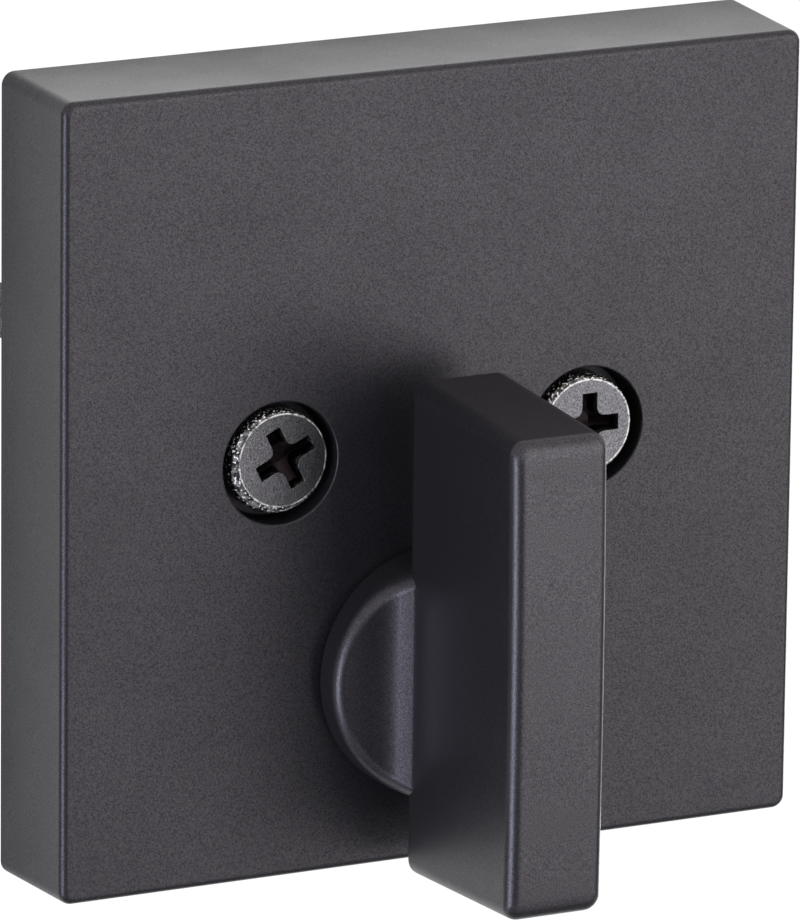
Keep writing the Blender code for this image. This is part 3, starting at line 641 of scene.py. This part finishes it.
def shank_surface(count=144):
    """Turned section with a groove; behind the plate the radius at turn t is held to flat / |cos t|."""
    line = rounded_line([(0.0, collar_back - 1.0), (shank_r, collar_back - 1.0), (shank_r, plate_back),
                         (shank_r, plate_back + 0.01), (shank_r, thrust_back), (groove_r, thrust_back),
                         (groove_r, groove_back), (shank_r, groove_back), (shank_r, shank_end, 0.4),
                         (spigot_hole_r, shank_end, 0.2), (spigot_hole_r, shank_end - spigot_inside),
                         (0.0, shank_end - spigot_inside)])
    turn = np.arange(count) * 2 * math.pi / count
    limit = shank_flat / np.maximum(np.abs(np.cos(turn)), 1e-6)
    radius = np.where((line[:, 1:] > plate_back + 0.005), np.minimum(line[:, :1], limit), line[:, :1])
    points = np.stack([radius * np.cos(turn), line[:, 1:] + 0 * turn, axis_z + radius * np.sin(turn)],
                      axis=-1)
    return points.reshape(-1, 3), grid_faces(len(line), count)


piece("thumb_turn_casting", MOVING, [shank_surface()], black_turn, "turn_piece",
      [bore(cross_pin_r + gap, 7, pin_y)], bar_surfaces + [collar_surface()])

# %% [markdown]
# ## Screws
#
# Two long machine screws hold the trim to the door and four small ones hold the plate in the rose. A head
# is a height over a polar grid, so its cross recess is only a deeper place in it. The thread is a radius
# that depends on depth and turn together, which is what makes it a helix.

# %% Screw heads
FOLLOW = 0.55                           # how far a head's flat top follows its recess off the centre


def cross_depth(x, z, width, reach, deep, tilt):
    """Depth of the recess: full inside a cross with soft inner corners, easing out over its steep walls."""
    u, v = np.abs(x * math.cos(tilt) + z * math.sin(tilt)), np.abs(z * math.cos(tilt) - x * math.sin(tilt))
    one, two = np.maximum(u - reach, v - width / 2), np.maximum(v - reach, u - width / 2)
    blend, steep = 0.85, 0.12
    mix = np.clip(0.5 + 0.5 * (two - one) / blend, 0, 1)
    beyond = two + (one - two) * mix - blend * mix * (1 - mix)
    flank = np.clip(-beyond / steep, 0, 1)
    return deep * flank * flank * (3 - 2 * flank) * np.clip(1.15 - 0.5 * np.hypot(u, v) / reach, 0, 1)


def head_surface(radius, height, edge, fall, cross, burr, seed, count=420):
    """Polar grid, depth against (r, turn): top less the cross, a rim that falls away, side and underside.

    The last two numbers of cross are its place. The flat top follows it, since dies never meet quite true.
    """
    turn = np.arange(count) * 2 * math.pi / count
    over = np.radians(90 * np.arange(1, 13) / 12)
    r = np.concatenate([np.linspace(0, radius - edge, 110), radius - edge + edge * np.sin(over),
                        [radius, radius - 0.15, 0.0]])
    s = np.concatenate([np.zeros(110), fall * (1 - np.cos(over)), [height - 0.15, height, height]])
    near = np.exp(-(((r - (radius - edge * 0.5)) / (edge * 0.5)) ** 2)) * (s < fall) * (r < radius)
    rough = np.random.default_rng(seed).normal(size=(len(r), count))
    x, z = r[:, None] * np.cos(turn), r[:, None] * np.sin(turn)
    aside = np.clip((radius - r) / edge, 0, 1)[:, None] * (s < fall)[:, None] * FOLLOW
    x, z = x + aside * cross[4], z + aside * cross[5]
    depth = s[:, None] + burr * near[:, None] * rough
    depth += np.where((r < radius - edge)[:, None], cross_depth(x - cross[4], z - cross[5], *cross[:4]), 0)
    return np.stack([x, depth, z], axis=-1).reshape(-1, 3), grid_faces(len(r), count)


# %% Threads


def thread_surface(radius, start, tip, pitch, thread_from, count=48, per_turn=10):
    """Radius = the outside one less a triangle wave of depth / pitch + turn / full turn, faded out."""
    turn = np.arange(count) * 2 * math.pi / count
    plain = np.linspace(start, thread_from, 6, endpoint=False)
    depth = np.concatenate([plain, np.arange(thread_from, tip - 0.9, pitch / per_turn)])
    base = np.concatenate([[0.0], np.full(len(depth), radius), [radius * 0.85, radius * 0.62, 0.0]])
    depth = np.concatenate([[start], depth, [tip - 0.5, tip, tip]])
    phase = (depth[:, None] / pitch + turn / (2 * math.pi)) % 1
    groove = np.clip(1.35 * (1 - np.abs(2 * phase - 1)) - 0.18, 0, 1) * 0.6 * pitch
    fade = np.clip((depth - thread_from) / pitch, 0, 1) * np.clip((tip - 0.6 - depth) / pitch, 0, 1)
    r = np.maximum(base[:, None] - groove * fade[:, None], 0)
    points = np.stack([r * np.cos(turn), depth[:, None] + 0 * turn, r * np.sin(turn)], axis=-1)
    return points.reshape(-1, 3), grid_faces(len(depth), count)


# %% A whole screw


def screw(name, replaced, x, z, top, way, head, thread, cross, burr=0.0, seed=1):
    """A screw along Y with its head's top at depth top; way is 1 if its tip points back, -1 if forwards."""
    surfaces = []
    for points, faces in (head_surface(*head, cross, burr, seed), thread_surface(*thread)):
        moved = np.stack([x + points[:, 0], top + way * points[:, 1], z + way * points[:, 2]], axis=1)
        surfaces.append((moved, faces))
    made = piece(name, FIXED, surfaces, screw_zinc, replaced, sharp=60, weld=1e-7)
    at = np.empty(len(made.data.vertices) * 3)
    made.data.vertices.foreach_get("co", at)
    at = at.reshape(-1, 3) / MM - (x, top, z)
    radius, depth = np.hypot(at[:, 0], at[:, 2]), at[:, 1] * way
    inner = (radius < head[0] - head[2] + 0.3) & (depth < head[1] - 0.2)
    corner_r = np.hypot(at[:, 0] - FOLLOW * cross[4], at[:, 2] - FOLLOW * cross[5])
    near = (depth < head[3] + 0.1) * (burr > 0)
    edge = np.clip((corner_r - head[0] + head[2]) / 0.08, 0, 1) * near
    # The first attribute is painted shade: black deep in the recess, and nearly as dark on the rounded rim
    # of a long screw.
    facts = {"shade_and_dark_rim": np.maximum(np.where(inner, np.clip(depth / 0.25, 0, 1), 0), 0.97 * edge),
             "rim": edge,
             "ring": np.maximum(np.exp(-(((corner_r - head[0] + head[2]) / 0.055) ** 2)) * near,
                                0.3 * inner * (depth > 0.02) * (depth < 0.5) * (burr > 0))}
    for key, values in facts.items():
        made.data.attributes.new(key, "FLOAT", "POINT").data.foreach_set("value", values.astype(np.float32))
    return made


# %% The six screws
length, coarse_pitch, threaded = screw_high[1] - head_top, 0.794, 38.0
long_heads = (("left", -1, 26, (0.55, 0.3)), ("right", 1, 0, (0.42, 0.12)))
for number, (name, side, tilt, aside) in enumerate(long_heads):
    screw("long_screw_" + name, "mounting_screw_" + name, side * screw_x, screw_z, head_top, 1,
          (head_r, head_height, 0.46, 0.7),
          (screw_r, head_height - 0.05, length, coarse_pitch, length - threaded),
          (1.32, 2.62, 1.8, math.radians(tilt), *aside), 0.02, 5 + number)
for number in range(1, 5):
    low, high = box_mm(f"plate_screw_{number}")
    screw(f"small_screw_{number}", f"plate_screw_{number}", (low[0] + high[0]) / 2, (low[2] + high[2]) / 2,
          high[1], -1, (2.7, 1.7, 0.8, 0.8), (1.3, 1.65, high[1] - low[1], 0.5, 2.0),
          (0.9, 1.5, 0.9, math.radians(19 * number), 0.0, 0.0))

# %% [markdown]
# ## Plate, washers and drive
#
# What is behind the rose is punched from sheet, turned from bar or moulded. A punched part is its outline
# with its holes, and both of its faces end in a small roll where the punch pulled the metal. A turned part
# is a closed section carried once round.

# %% Mounting plate and stop pins
pins = []
for name in ("left", "right"):
    low, high = box_mm("stop_pin_" + name)
    pin_x, pin_z, pin_r = (low[0] + high[0]) / 2, (low[2] + high[2]) / 2, (high[0] - low[0]) / 2
    pins.append((pin_x, pin_z, pin_r))
    line = rounded_line([(0, low[1]), (pin_r, low[1], 0.2), (pin_r, high[1], 0.3), (0, high[1])])
    piece("pressed_pin_" + name, FIXED, [turned(line, 64, pin_x, pin_z)], turned_steel, "stop_pin_" + name)

plate_holes = [circle(shank_r + gap, 128, 0, axis_z)] + [circle(r + gap, 64, x, z) for x, z, r in pins]
for side in SIDES:
    plate_holes.append(circle(screw_r + gap, 64, side * screw_x, screw_z))
    plate_holes += [circle(small_hole, 48, side * post_at, up * post_at) for up in SIDES]
plate_outline = rounded_square(plate_low[0], plate_high[0], plate_low[2], plate_high[2], 3.0, 16, 20)
piece("punched_plate", FIXED, sheet(plate_outline, plate_holes, plate_front, plate_back, 0.18), sheet_zinc,
      "mounting_plate")

# %% Nylon bush and screw retainers
bush = rounded_loop([(shank_r + gap, flange_front, 0.15), (flange_r, flange_front, 0.2),
                     (flange_r, flange_back, 0.2), (bush_r, flange_back), (bush_r, seat, 0.15),
                     (shank_r + gap, seat, 0.15)])
piece("moulded_bush", FIXED, [turned(bush, 128, 0, axis_z, wrap=True)], nylon, "bearing_bush")
for name, side in (("left", -1), ("right", 1)):
    low, high = box_mm("screw_retainer_" + name)
    outer = (high[0] - low[0]) / 2
    ring = rounded_square(screw_r + gap, outer, low[1], high[1], 0.2, 4, 1)
    piece("moulded_retainer_" + name, FIXED, [turned(ring, 96, side * screw_x, screw_z, wrap=True)], nylon,
          "screw_retainer_" + name)

# %% Stop disc and retaining ring


def arc(radius, start, end, count):
    """Points at equal turns from one angle in degrees to another."""
    turn = np.radians(np.linspace(start, end, count))
    return np.stack([radius * np.cos(turn), radius * np.sin(turn)], axis=1)


def lobed_outline():
    """A round disc with one lobe upwards whose sides are parallel."""
    disc_r, lobe_r, lobe_half = 8.0, 13.0, 2.0
    join, tip = math.degrees(math.asin(lobe_half / disc_r)), math.degrees(math.asin(lobe_half / lobe_r))
    sides = np.linspace(0, 1, 9)[1:-1, None]
    disc, lobe = arc(disc_r, 90 + join, 450 - join, 97), arc(lobe_r, 90 - tip, 90 + tip, 13)
    out, back = disc[-1] + sides * (lobe[0] - disc[-1]), lobe[-1] + sides * (disc[0] - lobe[-1])
    return np.concatenate([disc, out, lobe, back])


def keyed_hole():
    """The shank's section with its clearance: two arcs and two flats."""
    flat_at, round_r = shank_flat + gap, shank_r + gap
    reach = 90 - math.degrees(math.acos(flat_at / round_r))
    side = np.linspace(0, 1, 11)[1:-1, None]
    top, bottom = arc(round_r, 90 - reach, 90 + reach, 33), arc(round_r, 270 - reach, 270 + reach, 33)
    down, up = top[-1] + side * (bottom[0] - top[-1]), bottom[-1] + side * (top[0] - bottom[-1])
    return np.concatenate([top, down, bottom, up])


def snap_ring():
    """An open ring with three prongs that reach into the groove."""
    outer_r, opening = ring_high[0], 70.0
    start, span = -90 + opening / 2, 360 - opening
    outer = arc(outer_r, start, start + span, 121)
    share = np.linspace(1, 0, 181)
    near = np.minimum(np.minimum(share, 1 - share) - 0.12, np.abs(share - 0.5) - 0.08)
    ease = np.clip(near / 0.02 + 0.5, 0, 1)
    radius = groove_r + gap + (shank_r + gap - groove_r) * ease * ease * (3 - 2 * ease)
    turn = np.radians(start + span * share)
    return np.concatenate([outer, np.stack([radius * np.cos(turn), radius * np.sin(turn)], axis=1)])


disc_low, disc_high = box_mm("stop_disc")
on_axis = np.array([0.0, axis_z])
disc_sheet = sheet(lobed_outline() + on_axis, [keyed_hole() + on_axis], disc_low[1], disc_high[1], 0.15)
ring_sheet = sheet(snap_ring() + on_axis, [], ring_low[1], ring_high[1], 0.12)
piece("punched_stop_disc", MOVING, disc_sheet, sheet_zinc, "stop_disc")
piece("snap_ring", MOVING, ring_sheet, spring_steel, "retaining_ring")

# %% Washers
wave_low, wave_high = box_mm("wave_washer")
thrust_low, thrust_high = box_mm("thrust_washer")
wave_thick = 0.4
wave_ring = rounded_square(shank_r + gap, wave_high[0], wave_low[1], wave_low[1] + wave_thick, 0.12, 4, 1)
wave_points, wave_faces = turned(wave_ring, 180, 0, axis_z, wrap=True)
# Three waves: the section is lifted by half the rise times 1 - cos 3t.
wave_turn = np.arctan2(wave_points[:, 2] - axis_z, wave_points[:, 0])
wave_points[:, 1] += (wave_high[1] - wave_low[1] - wave_thick) * (1 - np.cos(3 * wave_turn)) / 2
piece("wave_spring_washer", MOVING, [(wave_points, wave_faces)], spring_steel, "wave_washer")
thrust_ring = rounded_square(shank_r + gap, thrust_high[0], thrust_low[1], thrust_high[1], 0.18, 4, 1)
piece("flat_thrust_washer", MOVING, [turned(thrust_ring, 128, 0, axis_z, wrap=True)], turned_steel,
      "thrust_washer")

# %% Spigot, blade and their pins
spigot_low, spigot_high = box_mm("drive_spigot")
blade_low, blade_high = box_mm("torque_blade")
spigot_r, flange_at = 3.1, shank_end + gap
blade_pin_y = spigot_high[1] - 3.2
spigot = rounded_line([(0, spigot_low[1]), (spigot_r, spigot_low[1], 0.4), (spigot_r, flange_at),
                       (spigot_high[0], flange_at, 0.15), (spigot_high[0], flange_at + 1.0, 0.15),
                       (spigot_r, flange_at + 1.0, 0.1), (spigot_r, spigot_high[1], 0.4),
                       (0, spigot_high[1])])
slot_half = blade_high[0] + gap
slot = rounded_square(-slot_half, slot_half, axis_z - 5, axis_z + 5, 0.05, 1, 1)
slot_ends = [flange_at + 1.0 + gap, spigot_high[1] + 1]
slot_cut = [swept([slot, slot], slot_ends), flat(slot_ends[0], slot), flat(slot_ends[1], slot)]
piece("turned_spigot", MOVING, [turned(spigot, 96, 0, axis_z)], turned_steel, "drive_spigot",
      [slot_cut, bore(cross_pin_r + gap, 5, pin_y), bore(blade_pin_r + gap, 5, blade_pin_y)])


def blade_rows():
    """Flat strip with broken edges whose last 3 mm narrow to three fifths of its width."""
    depth = np.array([blade_low[1], blade_low[1] + 0.15, blade_high[1] - 3.0, blade_high[1] - 0.15,
                      blade_high[1]])
    wide = blade_high[2] - axis_z
    width = np.array([wide - 0.1, wide, wide, wide * 0.62, wide * 0.6 - 0.1])
    thick = np.array([-0.1, 0, 0, 0, -0.15]) + blade_high[0]
    return [rounded_square(-t, t, axis_z - w, axis_z + w, 0.25, 5, 4) for t, w in zip(thick, width)], depth


blade, blade_depth = blade_rows()
piece("torque_strip", MOVING, [swept(blade, blade_depth), flat(blade_depth[0], blade[0]),
                               flat(blade_depth[-1], blade[-1])], turned_steel, "torque_blade",
      [bore(blade_pin_r + gap, 2, blade_pin_y)])
for name, node, radius, y in (("cross_pin", "spigot_pin", cross_pin_r, pin_y),
                              ("strip_pin", "blade_pin", blade_pin_r, blade_pin_y)):
    reach = box_mm(node)[1][0]
    pin = rounded_line([(0, -reach), (radius, -reach, 0.2), (radius, reach, 0.2), (0, reach)])
    piece(name, MOVING, [across(turned(pin, 48), y)], turned_steel, node)

# %% [markdown]
# ## Camera, light and floor
#
# A long lens seen from the left and a little above, as a catalogue would show it. A satin black part is
# drawn mostly by what it reflects, so the room is white, two softboxes on the right fill the faces, a cool
# strip on the left draws the edges, and two lights behind reach the top and the far edges. Black flags and
# grey cards stand in the gaps, where a side or an edge should mirror something darker than the room.

# %% Directions


def towards(azimuth, elevation):
    """Unit vector from the object to a compass direction and a height: azimuth 0 is front, 90 right."""
    a, e = math.radians(azimuth), math.radians(elevation)
    return Vector((math.sin(a) * math.cos(e), -math.cos(a) * math.cos(e), math.sin(e)))


def facing(direction, roll=0.0):
    """Turn that points an object's -Z against a direction, with +Y up, then rolls it about that line."""
    return (-direction).to_track_quat("-Z", "Y") @ Quaternion((0, 0, 1), math.radians(roll))


def placed(thing, azimuth, elevation, distance, aim=(0, 0, 0), roll=0.0):
    """Puts a thing at a distance in a direction from what it aims at, and turns it that way."""
    thing.rotation_mode = "QUATERNION"
    thing.location = Vector(aim) + towards(azimuth, elevation) * distance
    thing.rotation_quaternion = facing(towards(azimuth, elevation), roll)
    return thing


# %% Camera
lens = bpy.data.cameras.new("camera")
lens.sensor_width, lens.lens, lens.clip_start, lens.clip_end = 36.0, 405.9, 0.01, 60.0
aim = Vector((-3.116, rose_front, 0.768)) * MM
azimuth, elevation, distance, roll = -26.681, 15.151, 0.83685, 0.6735
bpy.context.scene.camera = placed(in_scene("camera", lens), azimuth, elevation, distance, aim, roll)
print("camera", round(distance, 3), "m away,", round(math.degrees(lens.angle), 2), "degrees wide")

# %% Light


def softbox(name, azimuth, elevation, distance, size, radiance, colour="#ffffff"):
    """Area light, width by height in metres. Watts = radiance x pi x area for an evenly bright sheet."""
    lamp = bpy.data.lights.new(name, "AREA")
    lamp.shape, lamp.energy = "RECTANGLE", radiance * math.pi * size[0] * size[1]
    lamp.size, lamp.size_y = size
    lamp.color = linear(colour)[:3]
    placed(in_scene(name, lamp), azimuth, elevation, distance).visible_camera = False


world = bpy.data.worlds.new("white_room")
bpy.context.scene.world = world
world.use_nodes = True
world.node_tree.nodes["Background"].inputs["Color"].default_value = (1.0, 1.0, 1.0, 1.0)
world.node_tree.nodes["Background"].inputs["Strength"].default_value = 1.06
softbox("right_softbox", 35, 0, 0.8, (0.75, 0.5), 2.4)
softbox("upper_softbox", 35, 24, 0.8, (0.75, 0.3), 1.7)
softbox("left_strip", -63, -13, 0.9, (0.34, 0.6), 8.8, "#dfe8ff")
softbox("back_softbox", 150, 24, 1.0, (0.8, 0.4), 1.2)
softbox("back_strip", 134, -12, 1.0, (0.5, 0.3), 4.4)
print(len(bpy.data.lights), "lights")

# %% Floor, flags and cards


def card(name, size, finish):
    """A flat rectangle, width by height in metres, that belongs to the stage and not to the object."""
    x, y = size[0] / 2, size[1] / 2
    mesh = bpy.data.meshes.new(name)
    mesh.from_pydata([(-x, -y, 0), (x, -y, 0), (x, y, 0), (-x, y, 0)], [], [(0, 1, 2, 3)])
    mesh.materials.append(finish)
    thing = in_scene(name, mesh)
    thing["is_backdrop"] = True
    return thing


card("floor", (40, 40), new_finish("pale_floor_paint", "#fbfbfb", 0.0, 0.9)[0]).location.z = -0.6
black_cloth, grey_card = (new_finish(name, colour, 0.0, 0.9)[0]
                          for name, colour in (("black_flag_cloth", "#0a0a0a"), ("grey_card", "#5c5c5c")))
flags = [placed(card("left_flag", (0.52, 0.34), black_cloth), -17, -15, 0.55),
         placed(card("right_flag", (0.42, 0.5), black_cloth), 82, -12, 0.7),
         placed(card("low_card", (1.0, 0.34), grey_card), 10, -72, 0.42),
         placed(card("side_card", (0.36, 0.5), grey_card), -103, -13, 0.6)]
for flag in flags:
    flag.visible_camera = False
print(len(flags), "flags and cards")
bpy.context.scene.view_settings.view_transform = "Standard"

# %% Sizes, and the end
low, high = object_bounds()
print("visual", np.round((np.array(high) - np.array(low)) / MM, 2), "mm")
